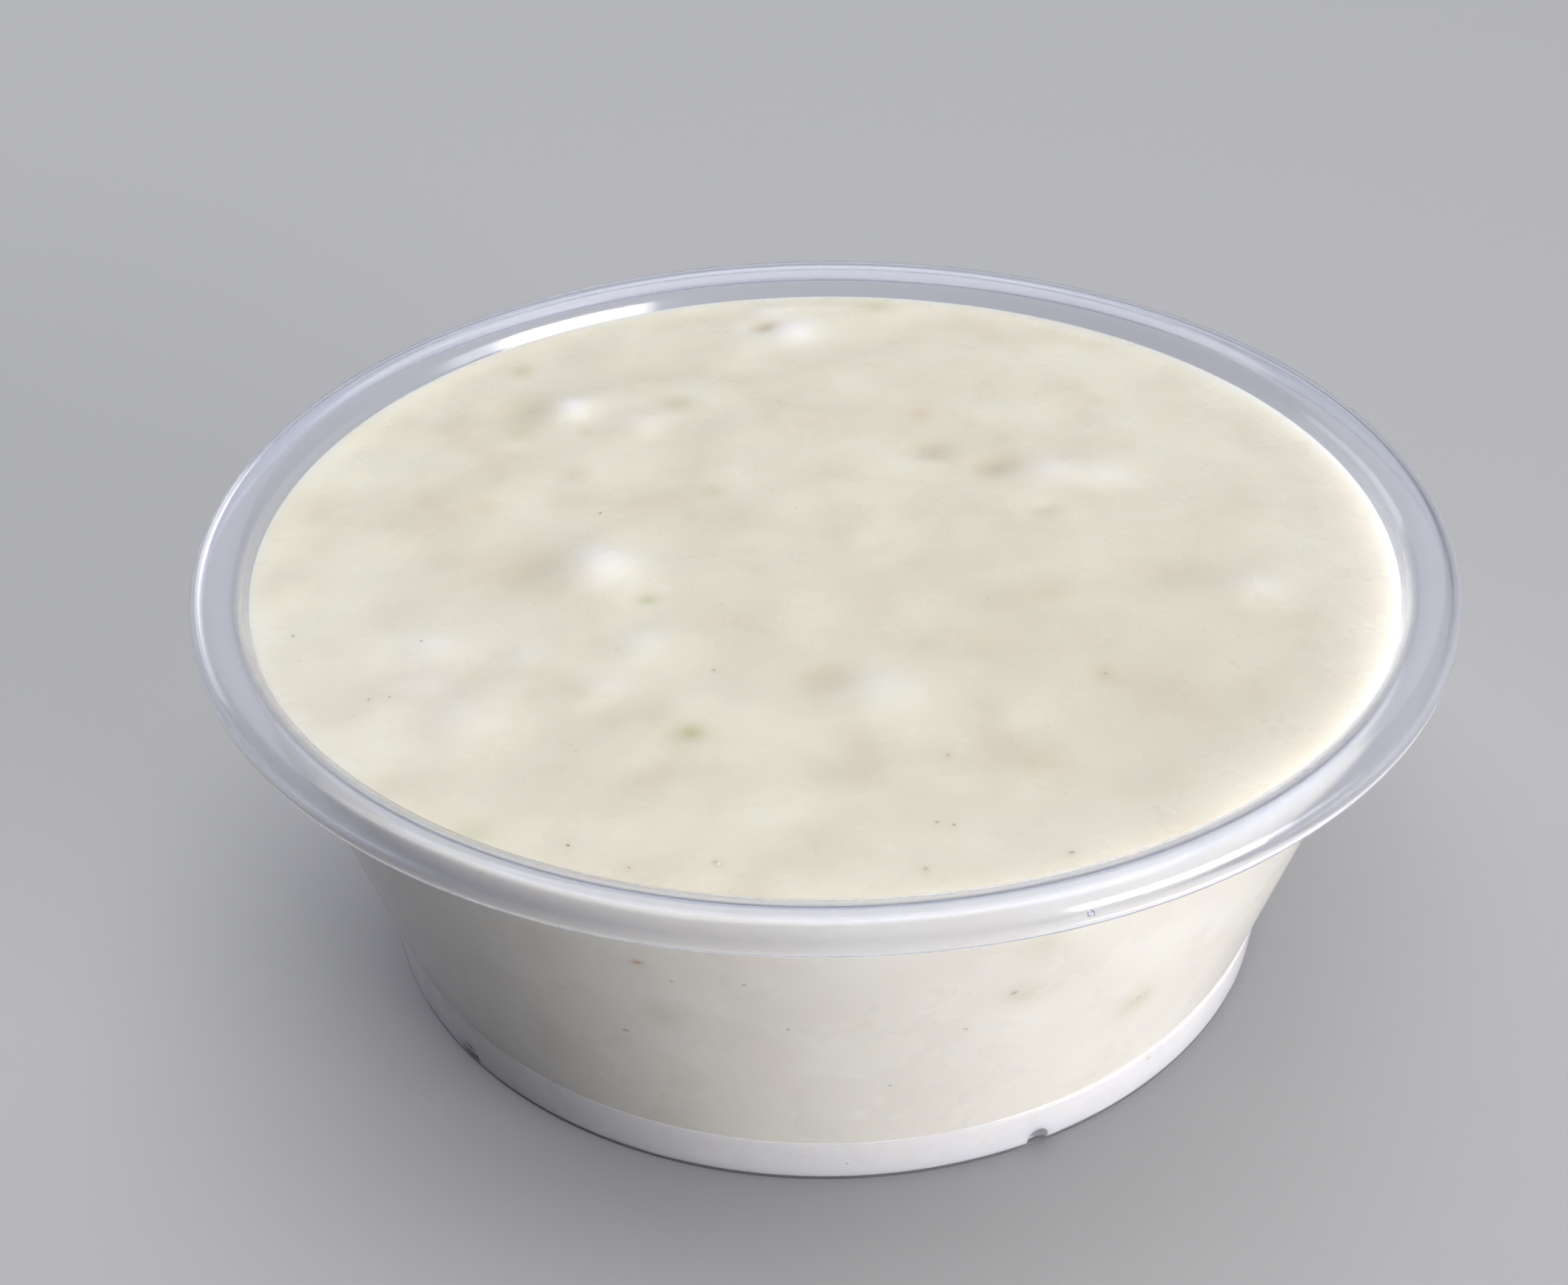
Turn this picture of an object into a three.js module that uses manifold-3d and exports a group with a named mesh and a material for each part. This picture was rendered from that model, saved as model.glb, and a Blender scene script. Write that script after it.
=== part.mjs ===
// A small clear plastic sauce cup, filled almost to its rim with a creamy herb sauce.
// Millimetres, +Z up. The origin is on the floor, at the middle of the cup's foot.
import * as THREE from 'three';
import { mergeVertices } from 'three/addons/utils/BufferGeometryUtils.js';
import Module from 'manifold-3d';

// Cup: one thin moulded sheet, given by the corners of its inner and upper face
const RIM_RADIUS = 31;
const CUP_HEIGHT = 22.4;
const RIM_BOTTOM = 20.8;
const RIM_ROUNDING = 1.2;
const MOUTH_RADIUS = 28.7;
const FOOT_RADIUS = 23.65;
const FOOT_HEIGHT = 2.5;
const FOOT_LEDGE = 0.15;
const BASE_RADIUS = 23.55;
const BASE_ROUNDING = 0.35;
const STANDING_RING = 2.2;
const PUSH_UP = 0.6;
const WALL = 0.45;
const SIDES = 80;
const ARC_STEP = Math.PI / 6;

// Sauce: everything inside the cup up to its uneven surface
const SAUCE_LEVEL = 20.75;
const GAP = 0.3;
const MENISCUS_RISE = 0.12;
const MENISCUS_WIDTH = 0.9;
const SAUCE_RINGS = 24;

// Lumps and hollows that stand out: x, y, radius and height, which is negative in a hollow
const LUMPS = [
  [-11.2, -2.4, 2, 0.45],
  [-14, 13.8, 1.4, 0.35],
  [-9.6, 12.2, 1.6, 0.2],
  [12.4, 6.6, 1.8, 0.25],
  [15, 6, 1.8, 0.15],
  [20.9, -4.9, 1.7, 0.25],
  [-8.6, -10, 1.5, 0.15],
  [-10.2, -13.2, 1.4, 0.1],
  [-18.3, -9.6, 1.5, 0.12],
  [-18, -12.6, 1.3, 0.08],
  [-13.7, -10.2, 1.2, 0.06],
  [-16, -15.2, 1.6, 0.1],
  [2.7, -13.3, 2, 0.25],
  [-1.6, 23.4, 1.5, 0.35],
  [-3, 26, 1.2, 0.15],
  [11.4, 2.9, 0.8, -0.15],
  [9.2, 7.4, 1.2, -0.2],
  [6, 9.3, 1.3, -0.2],
  [17.2, -3.2, 1.9, -0.15],
  [-16.5, 13.9, 1.9, -0.2],
  [-14.6, -2.4, 2.2, -0.25],
  [-3.3, 24.1, 0.8, -0.2],
  [0, -12.3, 1.4, -0.1],
  [-10.6, -9.2, 1.2, -0.08],
  [-11.5, -12.4, 1, -0.05],
  [-15.4, -10, 1, -0.05],
  [-7.7, -14.2, 1, -0.05],
  [-7, 25, 2.2, -0.12],
];
// Low swells between them
const SWELLS = { count: 60, least: 1.5, most: 3.6, height: 0.17, seed: 7 };
// The sauce gets smoother from left to right: where that starts and ends, and by what share
const SMOOTHER = { from: -5, to: 15, share: 0.6 };

// Air trapped in the foot's corner: bearing in degrees, half length, height above the foot
const AIR_POCKETS = [
  [-64.7, 0.6, 0.65],
  [-138.5, 0.8, 0.75],
];
const POCKET_SIDES = 12;
const POCKET_ROWS = 8;

// Points closer than this are one point
const WELD = 1e-4;
// Steps of the run of random numbers
const RANDOM = { factor: 1664525, add: 1013904223, size: 2 ** 32 };

const clearPlastic = new THREE.MeshStandardMaterial({
  color: 0xdfe3ee,
  roughness: 0.08,
  metalness: 0,
  transparent: true,
  opacity: 0.4,
});
const creamySauce = new THREE.MeshStandardMaterial({
  color: 0xe3dfcf,
  roughness: 0.3,
  metalness: 0,
});

const wasm = await Module();
wasm.setup();

// Profile lines are lists of points: radius and height

function unit(from, to) {
  return to.clone().sub(from).normalize();
}

// Replaces each corner that has a rounding by an arc tangent to both its sides
function roundedLine(corners, roundings) {
  const line = [];
  corners.forEach((corner, i) => {
    if (roundings[i] === 0) {
      line.push(corner);
      return;
    }
    const before = unit(corner, corners[i - 1]);
    const after = unit(corner, corners[i + 1]);
    const half = Math.acos(before.dot(after)) / 2;
    const bisector = before.clone().add(after).normalize();
    const centre = corner.clone().addScaledVector(bisector, roundings[i] / Math.sin(half));
    const start = corner.clone().addScaledVector(before, roundings[i] / Math.tan(half));
    const spoke = start.sub(centre);
    const turn = Math.sign(after.cross(before)) * (Math.PI - 2 * half);
    const count = Math.max(1, Math.round(Math.abs(turn) / ARC_STEP));
    for (let k = 0; k <= count; k += 1) {
      line.push(spoke.clone().rotateAround(new THREE.Vector2(), turn * k / count).add(centre));
    }
  });
  return line;
}

// Moves a line sideways by a distance, to the right of its own direction
function offsetLine(line, distance) {
  return line.map((point, i) => {
    const before = unit(line[Math.max(i - 1, 0)], line[Math.max(i, 1)]);
    const after = unit(line[Math.min(i, line.length - 2)], line[Math.min(i + 1, line.length - 1)]);
    const along = before.clone().add(after).normalize();
    const normal = new THREE.Vector2(along.y, -along.x);
    return point.clone().addScaledVector(normal, distance / along.dot(before));
  });
}

// Corners of the cup's inner and upper face, from the middle of its floor to the rim's lower edge:
// radius, height, rounding, and the rounding of the outer and under face at that corner
function cupCorners() {
  const ringInside = BASE_RADIUS - STANDING_RING;
  const footInside = FOOT_RADIUS - WALL;
  return [
    [0, PUSH_UP + WALL, 0, 0],
    [ringInside - PUSH_UP, PUSH_UP + WALL, 0, 0],
    [ringInside, WALL, 0, 0],
    [BASE_RADIUS - WALL, WALL, 0, BASE_ROUNDING],
    [footInside, FOOT_HEIGHT - FOOT_LEDGE, 0, 0],
    [footInside - FOOT_LEDGE, FOOT_HEIGHT, 0, 0],
    [MOUTH_RADIUS, CUP_HEIGHT, RIM_ROUNDING, RIM_ROUNDING - WALL],
    [RIM_RADIUS, CUP_HEIGHT, RIM_ROUNDING, RIM_ROUNDING - WALL],
    [RIM_RADIUS, RIM_BOTTOM, 0, 0],
  ];
}

function cornerPoints() {
  return cupCorners().map(([radius, height]) => new THREE.Vector2(radius, height));
}

function radiusAt(line, height) {
  const top = line.findIndex((point, i) => i > 0 && point.y >= height && line[i - 1].y < height);
  const low = line[top - 1];
  const share = (height - low.y) / (line[top].y - low.y);
  return low.clone().lerp(line[top], share).x;
}

// A lathe about +Z
function turned(profile) {
  return new THREE.LatheGeometry(profile, SIDES).rotateX(Math.PI / 2);
}

function toManifold(geometry) {
  const bare = geometry.clone();
  bare.deleteAttribute('normal');
  bare.deleteAttribute('uv');
  const merged = mergeVertices(bare, WELD);
  return new wasm.Manifold(new wasm.Mesh({
    numProp: 3,
    vertProperties: new Float32Array(merged.attributes.position.array),
    triVerts: new Uint32Array(merged.index.array),
  }));
}

function toGeometry(solid) {
  const mesh = solid.getMesh();
  const geometry = new THREE.BufferGeometry();
  geometry.setAttribute('position', new THREE.BufferAttribute(mesh.vertProperties, 3));
  geometry.setIndex(new THREE.BufferAttribute(mesh.triVerts, 1));
  geometry.computeVertexNormals();
  return geometry;
}

// A repeatable run of numbers from 0 to 1
function randomRun(seed) {
  let state = seed;
  return () => {
    state = (RANDOM.factor * state + RANDOM.add) % RANDOM.size;
    return state / RANDOM.size;
  };
}

function swellList(reach) {
  const random = randomRun(SWELLS.seed);
  return Array.from({ length: SWELLS.count }, () => {
    const bearing = 2 * Math.PI * random();
    const away = reach * Math.sqrt(random());
    const radius = SWELLS.least + (SWELLS.most - SWELLS.least) * random();
    const x = away * Math.cos(bearing);
    const calm = 1 - SMOOTHER.share * THREE.MathUtils.smoothstep(x, SMOOTHER.from, SMOOTHER.to);
    const height = SWELLS.height * (2 * random() - 1) * calm;
    return [x, away * Math.sin(bearing), radius, height];
  });
}

// How high the sauce stands over its own level at a point
function reliefAt(x, y, lumps, edge) {
  let height = 0;
  for (const [lumpX, lumpY, radius, rise] of lumps) {
    height += rise * Math.exp(-((x - lumpX) ** 2 + (y - lumpY) ** 2) / radius ** 2);
  }
  const fromWall = edge - Math.hypot(x, y);
  const settle = THREE.MathUtils.smoothstep(fromWall, 0, 2 * MENISCUS_WIDTH);
  return height * settle + MENISCUS_RISE * Math.exp(-fromWall / MENISCUS_WIDTH);
}

// A flat-topped body first, whose top points then go to the height of the relief
function sauceBody() {
  const side = offsetLine(cornerPoints(), -GAP);
  const edgeHeight = SAUCE_LEVEL + MENISCUS_RISE;
  const edge = radiusAt(side, edgeHeight);
  const mouth = side.findIndex((point) => point.y > edgeHeight);
  const floorAndWall = side.slice(0, mouth);
  floorAndWall[0].x = 0;
  const top = Array.from({ length: SAUCE_RINGS + 1 }, (_, ring) => (
    new THREE.Vector2(edge * (1 - ring / SAUCE_RINGS), edgeHeight)
  ));
  const geometry = turned([...floorAndWall, ...top]);
  const lumps = [...LUMPS, ...swellList(edge)];
  const place = geometry.attributes.position;
  for (let i = 0; i < place.count; i += 1) {
    if (place.getZ(i) > edgeHeight - WELD) {
      const height = reliefAt(place.getX(i), place.getY(i), lumps, edge);
      place.setZ(i, SAUCE_LEVEL + height);
    }
  }
  return toManifold(geometry);
}

function airPocket([bearing, halfLength, height]) {
  const geometry = new THREE.SphereGeometry(1, POCKET_SIDES, POCKET_ROWS);
  const floor = WALL + GAP;
  geometry.scale(halfLength, halfLength, height);
  geometry.translate(BASE_RADIUS - WALL - GAP, 0, floor);
  geometry.rotateZ(THREE.MathUtils.degToRad(bearing));
  return toManifold(geometry);
}

function sauceGeometry() {
  let sauce = sauceBody();
  for (const pocket of AIR_POCKETS) {
    sauce = sauce.subtract(airPocket(pocket));
  }
  return toGeometry(sauce);
}

function cupGeometry() {
  const corners = cupCorners();
  const inside = roundedLine(cornerPoints(), corners.map((corner) => corner[2]));
  const outside = roundedLine(offsetLine(cornerPoints(), WALL), corners.map((corner) => corner[3]));
  outside[0].x = 0;
  return turned([...outside, ...inside.reverse()]);
}

function named(name, geometry, material) {
  const mesh = new THREE.Mesh(geometry, material);
  mesh.name = name;
  return mesh;
}

const sauceCup = new THREE.Group();
sauceCup.add(named('cup', cupGeometry(), clearPlastic));
sauceCup.add(named('sauce', sauceGeometry(), creamySauce));

export default sauceCup;
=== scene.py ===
"""Looks of a small clear plastic sauce cup filled with a creamy herb sauce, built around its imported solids.
Metres, +Z up. Sizes are named in millimetres and go through MM."""
import math

import bpy
import numpy as np
from mathutils import Matrix, Vector, noise


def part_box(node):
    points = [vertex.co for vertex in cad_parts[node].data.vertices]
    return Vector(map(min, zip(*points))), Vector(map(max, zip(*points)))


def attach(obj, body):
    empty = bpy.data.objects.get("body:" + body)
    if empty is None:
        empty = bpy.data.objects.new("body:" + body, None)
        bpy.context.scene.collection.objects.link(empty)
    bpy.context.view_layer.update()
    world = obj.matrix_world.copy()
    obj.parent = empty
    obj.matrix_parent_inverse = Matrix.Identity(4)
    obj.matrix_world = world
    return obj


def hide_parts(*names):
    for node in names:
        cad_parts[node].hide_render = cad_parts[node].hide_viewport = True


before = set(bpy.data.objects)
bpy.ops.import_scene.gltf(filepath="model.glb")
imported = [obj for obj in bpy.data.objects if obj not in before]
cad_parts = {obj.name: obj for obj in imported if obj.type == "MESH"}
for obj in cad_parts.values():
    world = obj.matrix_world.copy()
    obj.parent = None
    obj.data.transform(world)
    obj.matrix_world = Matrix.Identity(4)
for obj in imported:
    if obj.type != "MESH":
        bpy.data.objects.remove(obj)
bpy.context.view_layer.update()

MM = 0.001
# Lengths that differ by less than this are the same
WELD = 1e-6

# Cup: one thin moulded sheet, given by the corners of its inner and upper face
RIM_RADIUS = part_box("cup")[1][0] / MM
CUP_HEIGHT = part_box("cup")[1][2] / MM
RIM_BOTTOM = 20.8
RIM_ROUNDING = 1.05
MOUTH_RADIUS = 28.7
MOUTH_ROUNDING = 1.45
FOOT_RADIUS = 23.65
FOOT_HEIGHT = 2.5
FOOT_LEDGE = 0.15
BASE_RADIUS = 23.55
BASE_ROUNDING = 0.35
STANDING_RING = 2.2
PUSH_UP = 0.6
WALL = 0.45
FLOOR_ROUNDING = 0.3
EDGE_ROUNDING = 0.08
CUP_SIDES = 288
END_STEPS = 8
ARC_STEP = math.radians(11)
SHARP_ANGLE = math.radians(35)
# Where a corner's list holds its rounding on the inner face and on the outer face
INNER, OUTER = 2, 3

# Sauce: everything inside the cup up to its uneven surface
SAUCE_LEVEL = 20.75
# How far it reaches into the wall, how far at its edge, and the heights between which that changes
INTO_WALL, INTO_WALL_AT_EDGE = 0.25, 0.06
EDGE_TAPER = (18.5, 20.6)
MENISCUS_RISE = 0.12
MENISCUS_WIDTH = 0.9
SAUCE_SIDES = 400
SAUCE_RINGS = 150
SIDE_STEP = 0.25

# Lumps and hollows that stand out: x, y, radius and height, which is negative in a hollow
LUMPS = [
    (-11.2, -2.4, 2.0, 0.45),
    (-14.0, 13.8, 1.4, 0.35),
    (-9.6, 12.2, 1.6, 0.2),
    (12.4, 6.6, 1.8, 0.25),
    (15.0, 6.0, 1.8, 0.15),
    (20.9, -4.9, 1.7, 0.25),
    (-8.6, -10.0, 1.5, 0.15),
    (-10.2, -13.2, 1.4, 0.1),
    (-18.3, -9.6, 1.5, 0.12),
    (-18.0, -12.6, 1.3, 0.08),
    (-13.7, -10.2, 1.2, 0.06),
    (-16.0, -15.2, 1.6, 0.1),
    (2.7, -13.3, 2.0, 0.25),
    (-1.6, 23.4, 1.5, 0.35),
    (-3.0, 26.0, 1.2, 0.15),
    (11.4, 2.9, 0.8, -0.15),
    (9.2, 7.4, 1.2, -0.2),
    (6.0, 9.3, 1.3, -0.2),
    (17.2, -3.2, 1.9, -0.15),
    (-16.5, 13.9, 1.9, -0.2),
    (-14.6, -2.4, 2.2, -0.25),
    (-3.3, 24.1, 0.8, -0.2),
    (0.0, -12.3, 1.4, -0.1),
    (-10.6, -9.2, 1.2, -0.08),
    (-11.5, -12.4, 1.0, -0.05),
    (-15.4, -10.0, 1.0, -0.05),
    (-7.7, -14.2, 1.0, -0.05),
    (-7.0, 25.0, 2.2, -0.12),
]
# Low swells between them
SWELL_COUNT, SWELL_LEAST, SWELL_MOST, SWELL_HEIGHT, SWELL_SEED = 60, 1.5, 3.6, 0.17, 7
# Ripples: wave length and height, and the step between their noises
RIPPLES = [(3.4, 0.14), (1.3, 0.02)]
RIPPLE_STEP = 9.1
# The sauce gets smoother from left to right: where that starts and ends, and by what share
SWELL_CALM = (-5, 15, 0.6)
RIPPLE_CALM = (-5, 18, 0.55)

# Painted highlights, white on the lumps where they catch the light, and a broad painted lightening at the
# front left: x, y, radius and strength
PAINTED_HIGHLIGHTS = [
    (-10.7, -2.4, 1.7, 0.8),
    (-13.9, 13.9, 1.2, 1.0),
    (-9.6, 12.3, 1.2, 0.45),
    (12.2, 6.6, 1.4, 0.55),
    (15.0, 6.2, 1.4, 0.5),
    (21.0, -4.8, 1.1, 0.5),
    (-8.3, -9.2, 1.2, 0.5),
    (-9.6, -12.6, 1.1, 0.35),
    (-18.3, -9.4, 1.1, 0.5),
    (-18.0, -12.4, 1.0, 0.3),
    (-13.7, -10.0, 0.9, 0.25),
    (-16.0, -15.0, 1.4, 0.3),
    (2.7, -13.2, 1.5, 0.45),
    (-1.6, 23.4, 1.5, 0.9),
    (-3.3, 26.0, 1.1, 0.6),
    (-4.8, 24.2, 0.9, 0.4),
    (-21.0, -12.0, 8.0, 0.2),
]
# Painted light along the edge, strongest at one bearing on the lit side, and a painted sheen all over the
# side
EDGE_LIGHT, EDGE_LIGHT_WIDTH, EDGE_LIGHT_BEARING = 0.7, 1.6, math.radians(-18)
SIDE_SHEEN = 0.35
# What lies this close under the level counts as the top
TOP_DEPTH = 0.6
# A hollow's shade for each millimetre of its depth
HOLLOW_SHADE = 2.2
# The colour changes over this height below and above the top of the foot
FOOT_BLEND = 0.2

# Soft green, ochre and grey clouds round bits that lie under the surface: x, y, radius and strength. A few of
# them, most of them grey, are painted shade in the hollows, in the pit, beside a lump and broadly at the
# front right
GREEN_CLOUDS = [
    (-8.0, 14.6, 0.9, 0.55),
    (3.4, 26.8, 1.0, 0.6),
    (-17.3, 18.9, 0.7, 0.6),
    (-5.7, 4.9, 0.7, 0.4),
    (-14.6, -23.2, 1.1, 0.4),
    (-6.0, -16.3, 0.8, 0.45),
    (-5.8, -16.3, 0.4, 0.6),
    (-8.4, -5.4, 0.5, 0.6),
    (-16.6, 11.6, 1.0, 0.45),
    (-16.5, 14.0, 1.5, 0.2),
    (-3.3, 24.1, 0.6, 0.3),
]
OCHRE_CLOUDS = [
    (-12.9, 6.8, 0.7, 0.4),
    (-12.9, 11.3, 0.4, 0.4),
    (-17.5, 3.4, 0.9, 0.4),
    (5.5, 13.2, 0.7, 0.5),
    (10.9, -5.0, 1.1, 0.35),
    (12.9, -11.9, 0.7, 0.4),
    (9.1, -18.7, 0.7, 0.35),
    (0.0, -12.4, 1.2, 0.3),
]
GREY_CLOUDS_AND_SHADE = [
    (-13.0, 3.8, 1.0, 0.35),
    (-20.5, 4.0, 1.2, 0.35),
    (-6.8, 2.5, 0.9, 0.3),
    (7.2, -9.9, 1.2, 0.3),
    (9.2, 7.4, 1.1, 0.3),
    (6.0, 9.3, 1.2, 0.25),
    (3.5, 12.0, 2.8, 0.2),
    (7.0, 16.5, 1.6, 0.2),
    (8.2, 12.0, 0.6, 0.3),
    (9.8, 10.3, 0.6, 0.35),
    (15.3, 14.8, 0.6, 0.3),
    (-4.2, 17.3, 0.8, 0.25),
    (-0.5, 18.0, 1.2, 0.2),
    (2.5, -5.0, 1.8, 0.2),
    (17.0, -13.0, 9.0, 0.25),
    (-3.3, 24.1, 0.6, 0.3),
]
# The same in the sauce's side: bearing in degrees, height, radius and strength
GREEN_BY_WALL = [
    (-105.2, 12.6, 1.0, 0.35),
    (-70.7, 17.0, 1.2, 0.3),
    (-71.6, 13.5, 0.8, 0.3),
    (-56.2, 9.2, 1.0, 0.4),
    (-38.0, 12.0, 0.8, 0.25),
    (20.0, 8.0, 1.0, 0.35),
    (64.0, 13.5, 0.9, 0.35),
    (118.0, 6.5, 1.1, 0.35),
    (163.0, 14.0, 0.8, 0.35),
    (-160.0, 9.0, 1.0, 0.35),
]

# Bits at the surface: x, y and size, which is about their width
HERB_ON_TOP = [
    (-5.0, -11.3, 0.26),
    (-4.4, -25.2, 0.3),
    (4.1, -25.6, 0.3),
    (12.9, -11.9, 0.3),
]
PEPPER_ON_TOP = [
    (-25.0, -8.5, 0.22),
    (-11.4, 2.8, 0.24),
    (10.1, -24.6, 0.28),
    (4.7, -22.6, 0.2),
    (5.4, -22.8, 0.2),
    (-20.5, -13.7, 0.16),
    (-18.8, -9.1, 0.16),
    (-10.5, -24.0, 0.2),
]
CHILLI_ON_TOP = [
    (5.4, -18.1, 0.28),
    (-7.9, -25.4, 0.22),
    (-19.6, -13.5, 0.18),
]
# Bits against the wall: bearing in degrees, height and size
HERB_ON_WALL = [
    (-109.8, 10.5, 0.35),
    (-72.5, 13.8, 0.4),
    (-56.2, 9.4, 0.4),
    (20.0, 8.0, 0.5),
    (118.0, 6.5, 0.5),
    (-160.0, 9.0, 0.4),
]
PEPPER_ON_WALL = [
    (-93.4, 12.5, 0.18),
    (-97.0, 15.8, 0.2),
    (-103.6, 15.4, 0.2),
    (-76.6, 11.6, 0.22),
    (-83.4, 7.6, 0.2),
    (-87.6, 1.2, 0.16),
    (35.0, 15.0, 0.22),
    (90.0, 9.0, 0.2),
    (140.0, 11.0, 0.18),
]
CHILLI_ON_WALL = [
    (-106.4, 16.4, 0.5),
    (-48.6, 2.1, 0.3),
    (50.0, 5.0, 0.35),
    (105.0, 16.0, 0.35),
]
# Fine specks all over the top, which stay this far off the edge
SPECK_COUNT, SPECK_LEAST, SPECK_MOST, SPECK_SEED = 30, 0.07, 0.13, 23
SPECK_MARGIN = 1
# A bit's length, width and thickness for its size, and its thickness against the wall
BIT_LENGTH, BIT_WIDTH, BIT_THICKNESS = 1.6, 1.2, 0.2
WALL_BIT_THICKNESS = 0.1
# How deep a bit is sunk, as a share of half its thickness
SUNK = 0.7
# Waves in a bit's outline: how many go round it, and how high they are
OUTLINE_WAVES = [(2, 0.18), (3, 0.12), (5, 0.08)]
# From where to where, out from its middle, a bit fades into the sauce
FADE = (0.15, 0.7)
# Bits are turned by chance, by up to about a full turn
MOST_TURN = 6.28

# Air trapped in the foot's corner: bearing in degrees, half length, height above the foot
AIR_POCKETS = [
    (-64.7, 0.6, 0.65),
    (-138.5, 0.8, 0.75),
]
POCKET_RINGS, POCKET_SIDES = 17, 32
# The moulding's small nib on the rim
NIB_BEARING, NIB_RADIUS, NIB_HEIGHT, NIB_SIZE = math.radians(-70.5), 30.9, 21.6, 0.3

# Linear colours
PLASTIC = (0.865, 0.875, 0.94)
PLASTIC_SHADOW = (0.85, 0.87, 0.91)
CREAM, DARK_CREAM, LIGHT_CREAM = (0.755, 0.715, 0.595), (0.7, 0.645, 0.53), (0.785, 0.76, 0.645)
PATCH = (0.71, 0.665, 0.555)
# White of the painted highlights, painted edge light and painted side sheen
HIGHLIGHT_WHITE = (0.86, 0.845, 0.83)
# Whiter, bluer cream inside the foot, a painted sheen
FOOT_SHEEN = (0.73, 0.71, 0.695)
# What each channel of the tints stands for: green, ochre and grey, the grey partly painted shade
STAINS_AND_SHADE = {"Red": (0.52, 0.52, 0.32), "Green": (0.66, 0.53, 0.38), "Blue": (0.62, 0.55, 0.42)}
# The darkest and the lightest colour of each kind of bit
HERB = ((0.37, 0.35, 0.15), (0.5, 0.47, 0.27))
PEPPER = ((0.1, 0.08, 0.065), (0.34, 0.29, 0.23))
CHILLI = ((0.46, 0.25, 0.13), (0.58, 0.38, 0.24))
FLOOR_GREY = (0.45, 0.45, 0.465)
AIR = (0.82, 0.85, 0.97)

# The photograph's camera
PHOTO_WIDTH = 2118
FOCAL_PIXELS = 2880
SENSOR_WIDTH = 36
CAMERA_PLACE = (0.0, -91.7, 76.7)
CAMERA_PAN, CAMERA_PITCH, CAMERA_ROLL = math.radians(-1.25), math.radians(-34.15), math.radians(-1.08)

# The floor it stands on
FLOOR_SIDE = 6000

# The run of random numbers
RANDOM_FACTOR, RANDOM_ADD, RANDOM_SIZE = 1664525, 1013904223, 2 ** 32


# ---------------------------------------------------------------- shapes

def rounded_line(corners, arc_step):
    """Corners are (radius, height, rounding). One with a rounding becomes an arc tangent to both sides."""
    line = []
    for i, (x, z, rounding) in enumerate(corners):
        point = np.array((x, z), float)
        if rounding == 0:
            line.append(point)
            continue
        before = np.array(corners[i - 1][:2], float) - point
        after = np.array(corners[i + 1][:2], float) - point
        before /= np.linalg.norm(before)
        after /= np.linalg.norm(after)
        half = math.acos(before @ after) / 2
        bisector = (before + after) / np.linalg.norm(before + after)
        centre = point + bisector * rounding / math.sin(half)
        spoke = point + before * rounding / math.tan(half) - centre
        turn = math.copysign(math.pi - 2 * half, after[0] * before[1] - after[1] * before[0])
        count = max(1, round(abs(turn) / arc_step))
        for k in range(count + 1):
            c, s = math.cos(turn * k / count), math.sin(turn * k / count)
            line.append(centre + np.array((c * spoke[0] - s * spoke[1], s * spoke[0] + c * spoke[1])))
    return np.array(line)


def offset_line(line, distance):
    """Moves a line sideways by a distance, to the right of its own direction."""
    step = np.diff(line, axis=0)
    step /= np.linalg.norm(step, axis=1)[:, None]
    before = np.vstack((step[:1], step))
    after = np.vstack((step, step[-1:]))
    along = before + after
    along /= np.linalg.norm(along, axis=1)[:, None]
    normal = np.column_stack((along[:, 1], -along[:, 0]))
    return line + normal * (distance / np.sum(along * before, axis=1))[:, None]


def cup_corners():
    """Corners of the cup's inner and upper face, from the middle of its floor to the rim's lower edge:
    radius, height, rounding, and the rounding of the outer and under face at that corner."""
    ring_inside = BASE_RADIUS - STANDING_RING
    foot_inside = FOOT_RADIUS - WALL
    return [
        (0, PUSH_UP + WALL, 0, 0),
        (ring_inside - PUSH_UP, PUSH_UP + WALL, FLOOR_ROUNDING, FLOOR_ROUNDING),
        (ring_inside, WALL, FLOOR_ROUNDING, FLOOR_ROUNDING),
        (BASE_RADIUS - WALL, WALL, FLOOR_ROUNDING, BASE_ROUNDING),
        (foot_inside, FOOT_HEIGHT - FOOT_LEDGE, EDGE_ROUNDING, EDGE_ROUNDING),
        (foot_inside - FOOT_LEDGE, FOOT_HEIGHT, EDGE_ROUNDING, EDGE_ROUNDING),
        (MOUTH_RADIUS, CUP_HEIGHT, MOUTH_ROUNDING, MOUTH_ROUNDING - WALL),
        (RIM_RADIUS, CUP_HEIGHT, RIM_ROUNDING, RIM_ROUNDING - WALL),
        (RIM_RADIUS, RIM_BOTTOM + WALL / 2, 0, 0),
    ]


def face_line(distance, rounding_at):
    """A face of the cup at a distance under its inner face. rounding_at is INNER or OUTER."""
    corners = cup_corners()
    line = offset_line(np.array([corner[:2] for corner in corners], float), distance)
    line[0][0] = 0
    return rounded_line([(x, z, corner[rounding_at]) for (x, z), corner in zip(line, corners)], ARC_STEP)


def radius_at(line, height):
    """Where an upward line first reaches a height."""
    top = next(i for i in range(1, len(line)) if line[i - 1][1] < height <= line[i][1])
    share = (height - line[top - 1][1]) / (line[top][1] - line[top - 1][1])
    return float(line[top - 1][0] + share * (line[top][0] - line[top - 1][0]))


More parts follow.
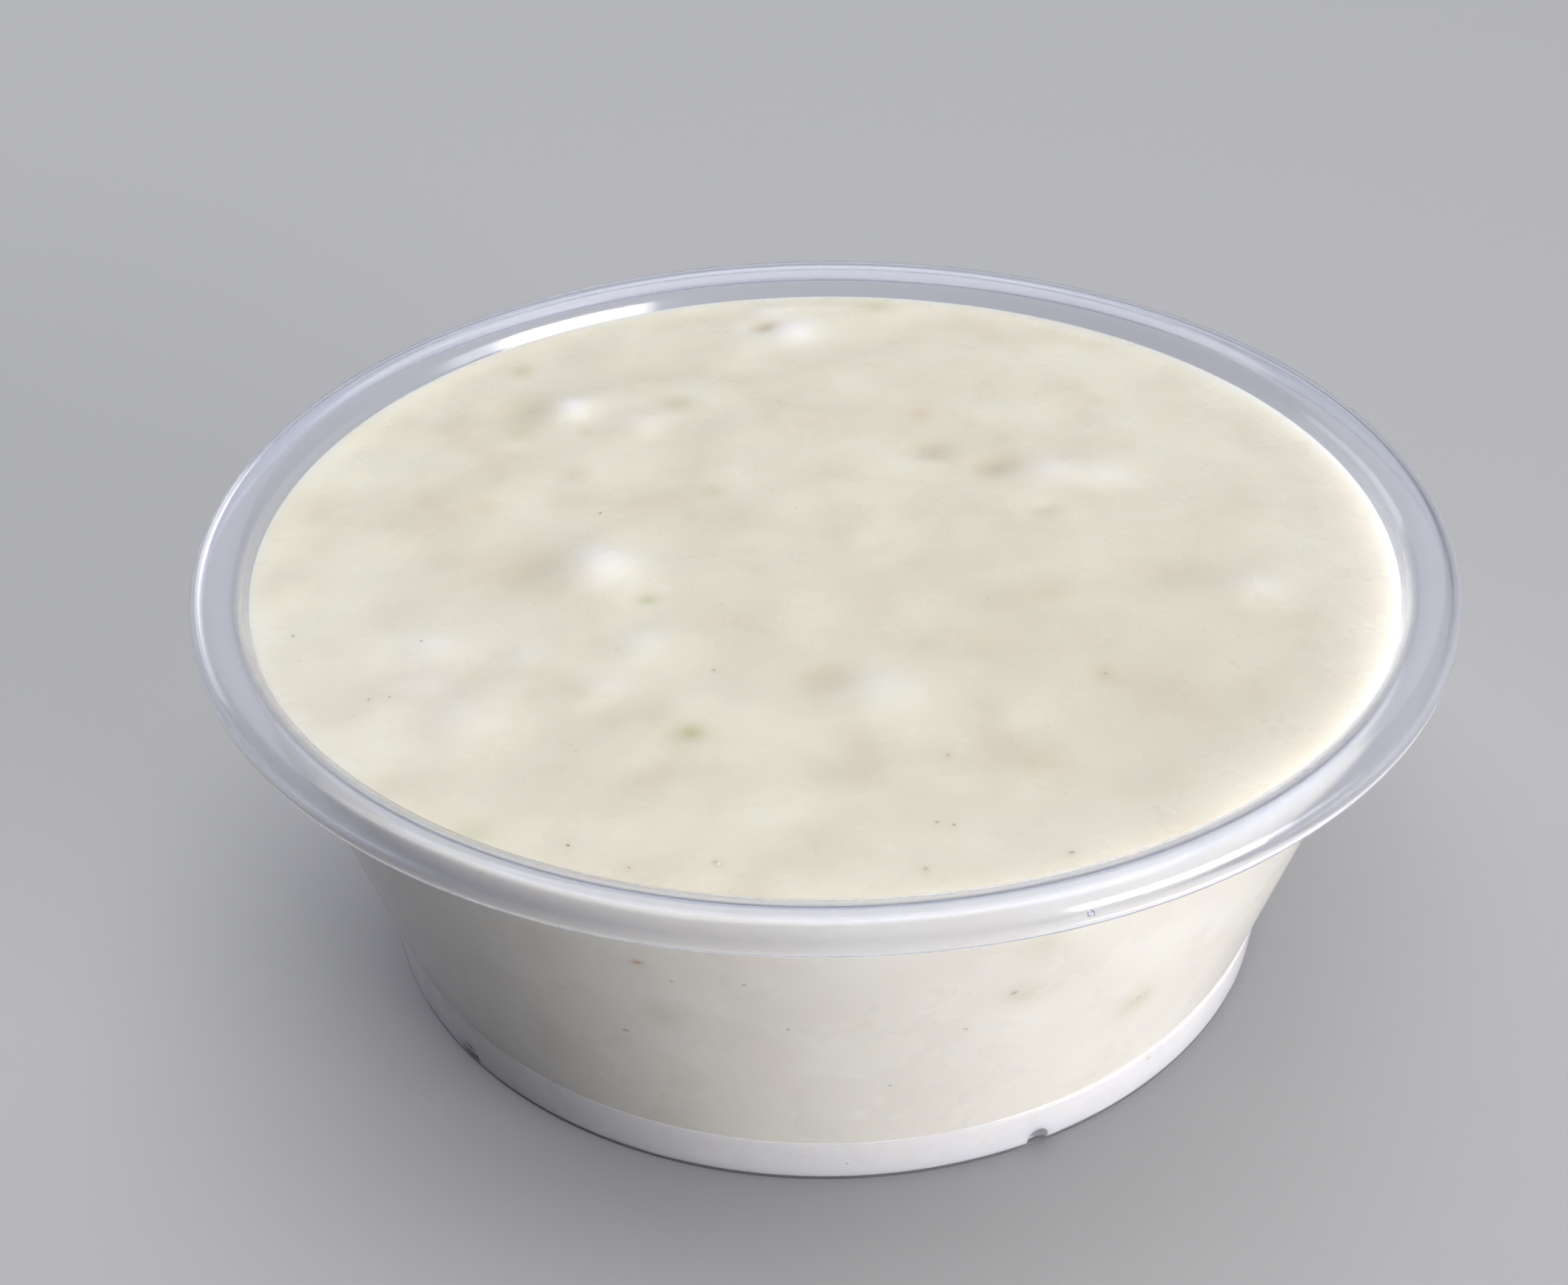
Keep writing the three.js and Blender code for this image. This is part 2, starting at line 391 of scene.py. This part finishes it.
def lathe_grid(profile, sides):
    """Points of a profile turned about +Z, and its faces. It closes where it starts or ends on the axis."""
    angles = np.linspace(0, 2 * math.pi, sides, endpoint=False)
    rows = []
    points = []
    for radius, height in profile:
        if radius < WELD:
            rows.append([len(points)] * sides)
            points.append((0.0, 0.0, height))
        else:
            first = len(points)
            rows.append(list(range(first, first + sides)))
            points += [(radius * math.cos(a), radius * math.sin(a), height) for a in angles]
    faces = []
    for low, high in zip(rows, rows[1:]):
        for k in range(sides):
            n = (k + 1) % sides
            corners = [low[k], low[n], high[n], high[k]]
            face = [c for i, c in enumerate(corners) if c != corners[i - 1]]
            if len(face) > 2:
                faces.append(face)
    return np.array(points), faces


def ball(rings, sides):
    """A ball of radius 1 as points and faces."""
    angles = np.linspace(0, math.pi, rings)
    profile = np.column_stack((np.sin(angles), -np.cos(angles)))
    profile[[0, -1], 0] = 0
    return lathe_grid(profile, sides)


def mesh_object(name, points, faces, material, sharp_angle=None):
    """A smooth-shaded object from points in millimetres."""
    mesh = bpy.data.meshes.new(name)
    mesh.from_pydata((np.asarray(points) * MM).tolist(), [], faces)
    mesh.materials.append(material)
    mesh.shade_smooth()
    if sharp_angle is not None:
        mesh.set_sharp_from_angle(angle=sharp_angle)
    piece = bpy.data.objects.new(name, mesh)
    bpy.context.collection.objects.link(piece)
    return piece


def random_run(seed):
    """A repeatable run of numbers from 0 to 1."""
    state = seed
    while True:
        state = (RANDOM_FACTOR * state + RANDOM_ADD) % RANDOM_SIZE
        yield state / RANDOM_SIZE


def smoothstep(value, low, high):
    share = np.clip((value - low) / (high - low), 0, 1)
    return share * share * (3 - 2 * share)


def calm_at(x, start, end, share):
    """How strong the relief still is at x."""
    return 1 - share * float(smoothstep(x, start, end))


def swell_list(reach):
    """Low swells between the lumps, weaker on the smooth right side."""
    run = random_run(SWELL_SEED)
    swells = []
    for _ in range(SWELL_COUNT):
        bearing = 2 * math.pi * next(run)
        away = reach * math.sqrt(next(run))
        radius = SWELL_LEAST + (SWELL_MOST - SWELL_LEAST) * next(run)
        x = away * math.cos(bearing)
        height = SWELL_HEIGHT * (2 * next(run) - 1) * calm_at(x, *SWELL_CALM)
        swells.append((x, away * math.sin(bearing), radius, height))
    return swells


def ripple_at(x, y):
    """Fine unevenness of a spooned cream, in millimetres."""
    height = 0.0
    for i, (wave, rise) in enumerate(RIPPLES):
        height += rise * noise.noise(Vector((x / wave, y / wave, RIPPLE_STEP * i)))
    return height * calm_at(x, *RIPPLE_CALM)


def relief_at(x, y, lumps, edge):
    """How high the sauce stands over its level. x and y are arrays."""
    height = np.zeros_like(x)
    for lump_x, lump_y, radius, rise in lumps:
        height += rise * np.exp(-((x - lump_x) ** 2 + (y - lump_y) ** 2) / radius ** 2)
    height += np.array([ripple_at(a, b) for a, b in zip(x.tolist(), y.tolist())])
    from_wall = edge - np.hypot(x, y)
    settle = smoothstep(from_wall, 0, 2 * MENISCUS_WIDTH)
    return height * settle + MENISCUS_RISE * np.exp(-from_wall / MENISCUS_WIDTH)


# ---------------------------------------------------------------- materials

class Nodes:
    """Short calls for one material's node tree."""

    def __init__(self, name):
        self.material = bpy.data.materials.new(name)
        self.material.use_nodes = True
        self.tree = self.material.node_tree
        self.shader = self.tree.nodes["Principled BSDF"]
        self.output = self.tree.nodes["Material Output"]

    def new(self, kind, **values):
        node = self.tree.nodes.new(kind)
        for key, value in values.items():
            setattr(node, key, value)
        return node

    def link(self, source, target):
        self.tree.links.new(source, target)

    def noise(self, scale, detail=3.0, roughness=0.5):
        node = self.new("ShaderNodeTexNoise")
        node.inputs["Scale"].default_value = scale
        node.inputs["Detail"].default_value = detail
        node.inputs["Roughness"].default_value = roughness
        self.link(self.position(), node.inputs["Vector"])
        return node.outputs["Fac"]

    def position(self):
        """A point's place in metres, from one node that all share."""
        for node in self.tree.nodes:
            if node.type == "TEX_COORD":
                return node.outputs["Object"]
        return self.new("ShaderNodeTexCoord").outputs["Object"]

    def ramp(self, source, stops):
        """Stops are positions with a colour or a grey value."""
        node = self.new("ShaderNodeValToRGB")
        while len(node.color_ramp.elements) < len(stops):
            node.color_ramp.elements.new(0.5)
        for element, (position, colour) in zip(node.color_ramp.elements, stops):
            element.position = position
            element.color = (*colour, 1) if isinstance(colour, tuple) else (colour, colour, colour, 1)
        self.link(source, node.inputs["Fac"])
        return node.outputs["Color"]

    def mix(self, share, first, second):
        """Each of the three is a value or a socket."""
        node = self.new("ShaderNodeMix", data_type="RGBA")
        for socket, value in ((node.inputs[0], share), (node.inputs[6], first), (node.inputs[7], second)):
            if isinstance(value, (float, tuple)):
                socket.default_value = (*value, 1) if isinstance(value, tuple) else value
            else:
                self.link(value, socket)
        return node.outputs[2]

    def span(self, source, from_low, from_high, low, high):
        node = self.new("ShaderNodeMapRange")
        limits = {"From Min": from_low, "From Max": from_high, "To Min": low, "To Max": high}
        for name, value in limits.items():
            node.inputs[name].default_value = value
        self.link(source, node.inputs["Value"])
        return node.outputs["Result"]

    def spread(self, noise_value, low, high):
        """Maps a noise, which mostly lies between 0.3 and 0.7, to low and high."""
        return self.span(noise_value, 0.3, 0.7, low, high)

    def bump(self, height, strength, distance):
        node = self.new("ShaderNodeBump")
        node.inputs["Strength"].default_value = strength
        node.inputs["Distance"].default_value = distance
        self.link(height, node.inputs["Height"])
        self.link(node.outputs["Normal"], self.shader.inputs["Normal"])


def clear_plastic():
    """Slightly milky clear plastic, which lets the lamps through to what it holds."""
    n = Nodes("clear_plastic")
    shader = n.shader
    shader.inputs["Base Color"].default_value = (*PLASTIC, 1)
    shader.inputs["IOR"].default_value = 1.49
    shader.inputs["Transmission Weight"].default_value = 0.94
    n.link(n.spread(n.noise(scale=900, detail=4), low=0.1, high=0.17), shader.inputs["Roughness"])
    n.bump(n.noise(scale=160, detail=2), strength=0.02, distance=0.0004)
    clear = n.new("ShaderNodeBsdfTransparent")
    clear.inputs["Color"].default_value = (*PLASTIC_SHADOW, 1)
    path = n.new("ShaderNodeLightPath")
    either = n.new("ShaderNodeMixShader")
    n.link(path.outputs["Is Shadow Ray"], either.inputs[0])
    n.link(shader.outputs["BSDF"], either.inputs[1])
    n.link(clear.outputs["BSDF"], either.inputs[2])
    n.link(either.outputs["Shader"], n.output.inputs["Surface"])
    return n.material


def cream_colour(n):
    """Soft light and dark clouds, stained by the tints, lightened by their painted highlights, edge light and
    side sheen, and whiter inside the foot as a painted sheen.
    """
    clouds = n.noise(scale=190, detail=3)
    colour = n.ramp(clouds, [(0.3, DARK_CREAM), (0.5, CREAM), (0.7, LIGHT_CREAM)])
    patches = n.ramp(n.noise(scale=105, detail=2), [(0.45, 0.0), (0.7, 0.6)])
    colour = n.mix(patches, colour, PATCH)
    tints = n.new("ShaderNodeVertexColor", layer_name="tints")
    channels = n.new("ShaderNodeSeparateColor")
    n.link(tints.outputs["Color"], channels.inputs["Color"])
    # The alpha lays on the painted highlights, the painted edge light and the painted side sheen
    colour = n.mix(tints.outputs["Alpha"], colour, HIGHLIGHT_WHITE)
    for channel, tint_colour in STAINS_AND_SHADE.items():
        colour = n.mix(channels.outputs[channel], colour, tint_colour)
    axes = n.new("ShaderNodeSeparateXYZ")
    n.link(n.position(), axes.inputs["Vector"])
    sheen_share = n.span(axes.outputs["Z"], (FOOT_HEIGHT + FOOT_BLEND) * MM, (FOOT_HEIGHT - FOOT_BLEND) * MM, 0, 1)
    return n.mix(sheen_share, colour, FOOT_SHEEN)


def creamy_sauce():
    n = Nodes("creamy_sauce")
    shader = n.shader
    n.link(cream_colour(n), shader.inputs["Base Color"])
    n.link(n.spread(n.noise(scale=350, detail=3), low=0.22, high=0.36), shader.inputs["Roughness"])
    shader.inputs["IOR"].default_value = 1.4
    shader.inputs["Subsurface Weight"].default_value = 0.8
    shader.inputs["Subsurface Radius"].default_value = (1.0, 0.85, 0.6)
    shader.inputs["Subsurface Scale"].default_value = 0.002
    n.bump(n.noise(scale=1300, detail=3), strength=0.12, distance=0.0001)
    return n.material


def wet_bit(name, dark, light):
    """Chopped herb, pepper or chilli that fades into the sauce at its edges."""
    n = Nodes(name)
    bit = n.ramp(n.noise(scale=500, detail=4, roughness=0.6), [(0.35, dark), (0.65, light)])
    cover = n.new("ShaderNodeVertexColor", layer_name="cover")
    n.link(n.mix(cover.outputs["Color"], CREAM, bit), n.shader.inputs["Base Color"])
    n.link(n.spread(n.noise(scale=3000, detail=2), low=0.25, high=0.4), n.shader.inputs["Roughness"])
    n.bump(n.noise(scale=4000, detail=3), strength=0.3, distance=0.00005)
    return n.material


def pale_floor():
    n = Nodes("pale_floor")
    n.shader.inputs["Base Color"].default_value = (*FLOOR_GREY, 1)
    n.shader.inputs["Roughness"].default_value = 0.7
    return n.material


# ---------------------------------------------------------------- pieces

def cup(plastic):
    """The sheet runs out along its outer face, round the skirt's lower edge and back along its inner face."""
    inside = face_line(0, INNER)
    outside = face_line(WALL, OUTER)
    turns = np.linspace(-math.pi, 0, END_STEPS + 1)[1:-1]
    round_end = np.column_stack((np.cos(turns) - 1, 1 + np.sin(turns))) * WALL / 2 + (RIM_RADIUS, RIM_BOTTOM)
    points, faces = lathe_grid(np.vstack((outside, round_end, inside[::-1])), CUP_SIDES)
    piece = mesh_object("plastic_cup", points, faces, plastic, SHARP_ANGLE)
    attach(piece, "root")
    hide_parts("cup")


def rim_nib(plastic):
    points, faces, _ = flake(NIB_SIZE, NIB_SIZE, NIB_SIZE, random_run(1))
    middle = (NIB_RADIUS * math.cos(NIB_BEARING), NIB_RADIUS * math.sin(NIB_BEARING), NIB_HEIGHT)
    piece = mesh_object("rim_nib", points + middle, faces, plastic)
    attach(piece, "root")


def finer(line, longest):
    """Splits the long stretches of a line."""
    points = [line[0]]
    for start, end in zip(line, line[1:]):
        count = math.ceil(math.dist(start, end) / longest)
        points += [start + (end - start) * k / count for k in range(1, count + 1)]
    return np.array(points)


def sauce_side():
    """The sauce's outline from the middle of its underside to where its surface meets the wall."""
    line = finer(face_line(INTO_WALL, INNER), SIDE_STEP)
    line[:, 0] -= (INTO_WALL - INTO_WALL_AT_EDGE) * smoothstep(line[:, 1], *EDGE_TAPER)
    edge_height = SAUCE_LEVEL + MENISCUS_RISE
    top = next(i for i, (_, height) in enumerate(line) if height > edge_height)
    return np.vstack((line[:top], (radius_at(line, edge_height), edge_height)))


def soft_spot(distance, radius):
    return np.exp(-(distance / radius) ** 2)


def tint_sauce(mesh, points, edge):
    """Stores how green, ochre and grey the sauce is from place to place, the grey partly painted shade in the
    hollows, and in the alpha its painted highlights, painted edge light and painted side sheen.
    """
    x, y, z = points[:, 0], points[:, 1], points[:, 2]
    out = np.hypot(x, y)
    on_top = z > SAUCE_LEVEL - TOP_DEPTH
    tints = np.zeros((len(points), 4))
    # Painted shade in the hollows goes into the grey
    hollow_shades = [(*lump[:3], -HOLLOW_SHADE * lump[3]) for lump in LUMPS if lump[3] < 0]
    for channel, clouds in enumerate((GREEN_CLOUDS, OCHRE_CLOUDS, [*GREY_CLOUDS_AND_SHADE, *hollow_shades], PAINTED_HIGHLIGHTS)):
        for cloud_x, cloud_y, radius, strength in clouds:
            tints[:, channel] += strength * soft_spot(np.hypot(x - cloud_x, y - cloud_y), radius) * on_top
    for bearing, height, radius, strength in GREEN_BY_WALL:
        turn = np.arctan2(y, x) - math.radians(bearing)
        across = out * np.arctan2(np.sin(turn), np.cos(turn))
        tints[:, 0] += strength * soft_spot(np.hypot(across, z - height), radius) * ~on_top
    # Painted light along the edge, strongest toward the lit side
    toward_light = np.clip(np.cos(np.arctan2(y, x) - EDGE_LIGHT_BEARING), 0, 1) ** 2
    tints[:, 3] += EDGE_LIGHT * np.exp((out - edge) / EDGE_LIGHT_WIDTH) * toward_light * on_top
    # Painted sheen all over the side
    tints[:, 3] += SIDE_SHEEN * ~on_top
    np.clip(tints, 0, 1, out=tints)
    layer = mesh.color_attributes.new(name="tints", type="FLOAT_COLOR", domain="POINT")
    layer.data.foreach_set("color", tints.ravel())


def cut_pockets(piece):
    """Takes the trapped air out of the sauce at the foot's corner."""
    for i, (bearing, half_length, height) in enumerate(AIR_POCKETS):
        points, faces = ball(POCKET_RINGS, POCKET_SIDES)
        turn = math.radians(bearing)
        points = points * (half_length, half_length, height)
        reach = BASE_RADIUS - WALL
        points += (reach * math.cos(turn), reach * math.sin(turn), WALL)
        cutter = mesh_object(f"cutter_{i}", points, faces, piece.data.materials[0])
        boolean = piece.modifiers.new(f"pocket_{i}", "BOOLEAN")
        boolean.operation = "DIFFERENCE"
        boolean.solver = "EXACT"
        boolean.object = cutter
        apply_modifiers(piece)
        bpy.data.objects.remove(cutter)


def apply_modifiers(piece):
    depsgraph = bpy.context.evaluated_depsgraph_get()
    made = bpy.data.meshes.new_from_object(piece.evaluated_get(depsgraph))
    made.set_sharp_from_angle(angle=SHARP_ANGLE)
    piece.modifiers.clear()
    piece.data = made


def sauce(lumps, side):
    """A flat-topped body first, whose top points then go to the height of the relief."""
    edge, edge_height = side[-1]
    top = [(edge * share, edge_height) for share in np.linspace(1, 0, SAUCE_RINGS + 1)[1:]]
    points, faces = lathe_grid(np.vstack((side, top)), SAUCE_SIDES)
    surface = points[:, 2] > edge_height - WELD
    points[surface, 2] = SAUCE_LEVEL + relief_at(points[surface, 0], points[surface, 1], lumps, edge)
    piece = mesh_object("sauce_fill", points, faces, creamy_sauce())
    tint_sauce(piece.data, points, edge)
    cut_pockets(piece)
    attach(piece, "root")
    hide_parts("sauce")


def flake(length, width, thickness, run, rings=8, sides=12):
    """A small rounded bit with an uneven outline, about its own middle, and how far each point shows."""
    points, faces = ball(rings, sides)
    turn = MOST_TURN * next(run)
    bearing = np.arctan2(points[:, 1], points[:, 0])
    uneven = np.ones(len(points))
    for i, (count, height) in enumerate(OUTLINE_WAVES, 1):
        uneven += height * np.sin(count * bearing + i * turn)
    cover = 1 - smoothstep(np.hypot(points[:, 0], points[:, 1]), *FADE)
    points[:, 0] *= uneven * length / 2
    points[:, 1] *= uneven * width / 2
    points[:, 2] = (points[:, 2] - SUNK) * thickness / 2
    return points, faces, cover


def gather(name, parts, material):
    """Joins many small closed bits into one piece."""
    points = np.vstack([p for p, _, _ in parts])
    first = np.cumsum([0] + [len(p) for p, _, _ in parts])
    faces = [[c + offset for c in face] for (_, group, _), offset in zip(parts, first) for face in group]
    piece = mesh_object(name, points, faces, material)
    # One grey value for each of the colour's four channels
    cover = np.repeat(np.concatenate([c for _, _, c in parts]), 4)
    layer = piece.data.color_attributes.new(name="cover", type="FLOAT_COLOR", domain="POINT")
    layer.data.foreach_set("color", cover)
    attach(piece, "root")


def laid(part, turn, x, y, z):
    """Turns a bit about +Z and sets it in its place."""
    points, faces, cover = part
    c, s = math.cos(turn), math.sin(turn)
    return points @ np.array(((c, s, 0), (-s, c, 0), (0, 0, 1))) + (x, y, z), faces, cover


def against_wall(part, bearing, height):
    """Turns a bit's flat side to the wall and sets it just in the sauce's skin."""
    points, faces, cover = part
    side = face_line(INTO_WALL, INNER)
    slope = math.atan2(MOUTH_RADIUS - FOOT_RADIUS + WALL, CUP_HEIGHT - FOOT_HEIGHT)
    turn = math.radians(bearing)
    out = np.array((math.cos(turn) * math.cos(slope), math.sin(turn) * math.cos(slope), -math.sin(slope)))
    across = np.array((-math.sin(turn), math.cos(turn), 0.0))
    up = np.cross(out, across)
    place = np.array((math.cos(turn), math.sin(turn), 0.0)) * radius_at(side, height)
    place[2] = height
    return points @ np.array((across, up, out)) + place, faces, cover


def bits(lumps, edge):
    """Herb, pepper and chilli, each kind one piece. They lie just in the sauce's skin."""
    run = random_run(SPECK_SEED)

    def on_surface(x, y, size):
        height = SAUCE_LEVEL + float(relief_at(np.array([x]), np.array([y]), lumps, edge)[0])
        bit = flake(size * BIT_LENGTH, size * BIT_WIDTH, size * BIT_THICKNESS, run)
        return laid(bit, MOST_TURN * next(run), x, y, height)

    def by_wall(bearing, height, size):
        bit = flake(size * BIT_LENGTH, size * BIT_WIDTH, WALL_BIT_THICKNESS, run)
        return against_wall(bit, bearing, height)

    def placed(top_spots, wall_spots):
        return [on_surface(*spot) for spot in top_spots] + [by_wall(*spot) for spot in wall_spots]

    kinds = {
        "herb_bits": placed(HERB_ON_TOP, HERB_ON_WALL),
        "pepper_specks": placed(PEPPER_ON_TOP, PEPPER_ON_WALL),
        "chilli_specks": placed(CHILLI_ON_TOP, CHILLI_ON_WALL),
    }
    for name in list(kinds) * (SPECK_COUNT // len(kinds)):
        bearing = 2 * math.pi * next(run)
        away = (edge - SPECK_MARGIN) * math.sqrt(next(run))
        size = SPECK_LEAST + (SPECK_MOST - SPECK_LEAST) * next(run) ** 2
        kinds[name].append(on_surface(away * math.cos(bearing), away * math.sin(bearing), size))
    gather("herb_bits", kinds["herb_bits"], wet_bit("green_herb", *HERB))
    gather("pepper_specks", kinds["pepper_specks"], wet_bit("dark_pepper", *PEPPER))
    gather("chilli_specks", kinds["chilli_specks"], wet_bit("chilli", *CHILLI))


# ---------------------------------------------------------------- camera, floor and light

def photo_camera():
    data = bpy.data.cameras.new("photo_camera")
    data.sensor_width = SENSOR_WIDTH
    data.lens = FOCAL_PIXELS / PHOTO_WIDTH * SENSOR_WIDTH
    data.clip_start = 0.005
    camera = bpy.data.objects.new("photo_camera", data)
    bpy.context.collection.objects.link(camera)
    forward = Vector((math.sin(CAMERA_PAN) * math.cos(CAMERA_PITCH),
                      math.cos(CAMERA_PAN) * math.cos(CAMERA_PITCH), math.sin(CAMERA_PITCH)))
    right = forward.cross(Vector((0, 0, 1))).normalized()
    up = right.cross(forward)
    rolled_right = right * math.cos(CAMERA_ROLL) + up * math.sin(CAMERA_ROLL)
    rolled_up = up * math.cos(CAMERA_ROLL) - right * math.sin(CAMERA_ROLL)
    turn = Matrix((rolled_right, rolled_up, -forward)).transposed().to_4x4()
    camera.matrix_world = Matrix.Translation(Vector(CAMERA_PLACE) * MM) @ turn
    bpy.context.scene.camera = camera


def soft_light(name, bearing, elevation, distance, width, height, power, colour):
    """An area light aimed at the cup. Bearing 0 is +X and 90 is away from the viewer."""
    data = bpy.data.lights.new(name, "AREA")
    data.shape = "RECTANGLE"
    data.size = width
    data.size_y = height
    data.energy = power
    data.color = colour
    light = bpy.data.objects.new(name, data)
    bpy.context.collection.objects.link(light)
    turn, rise = math.radians(bearing), math.radians(elevation)
    away = Vector((math.cos(rise) * math.cos(turn), math.cos(rise) * math.sin(turn), math.sin(rise)))
    light.location = away * distance
    light.rotation_euler = away.to_track_quat("Z", "Y").to_euler()


def studio():
    """A pale floor, a low window in front at the right, and sky low at the back left, behind and overhead."""
    half = FLOOR_SIDE / 2
    corners = [(-half, -half, 0), (half, -half, 0), (half, half, 0), (-half, half, 0)]
    floor = mesh_object("floor", corners, [(0, 1, 2, 3)], pale_floor())
    world = bpy.data.worlds.new("studio")
    world.use_nodes = True
    world.node_tree.nodes["Background"].inputs["Color"].default_value = (*AIR, 1)
    world.node_tree.nodes["Background"].inputs["Strength"].default_value = 0.12
    bpy.context.scene.world = world
    soft_light("window", bearing=-36, elevation=10, distance=0.6,
               width=0.35, height=0.17, power=3.2, colour=(1.0, 0.985, 0.96))
    soft_light("low_sky", bearing=138, elevation=9, distance=1.2,
               width=0.8, height=0.32, power=1.5, colour=(0.98, 0.95, 1.0))
    soft_light("sky_behind", bearing=103, elevation=36, distance=0.9,
               width=1.35, height=0.7, power=1.6, colour=(0.82, 0.87, 1.0))
    soft_light("sky_above", bearing=115, elevation=81, distance=0.7,
               width=0.8, height=0.8, power=4.85, colour=(0.98, 0.98, 0.97))
    bpy.context.scene.view_settings.view_transform = "Standard"


def main():
    photo_camera()
    studio()
    side = sauce_side()
    edge = side[-1][0]
    lumps = [*LUMPS, *swell_list(edge)]
    plastic = clear_plastic()
    cup(plastic)
    rim_nib(plastic)
    sauce(lumps, side)
    bits(lumps, edge)


main()
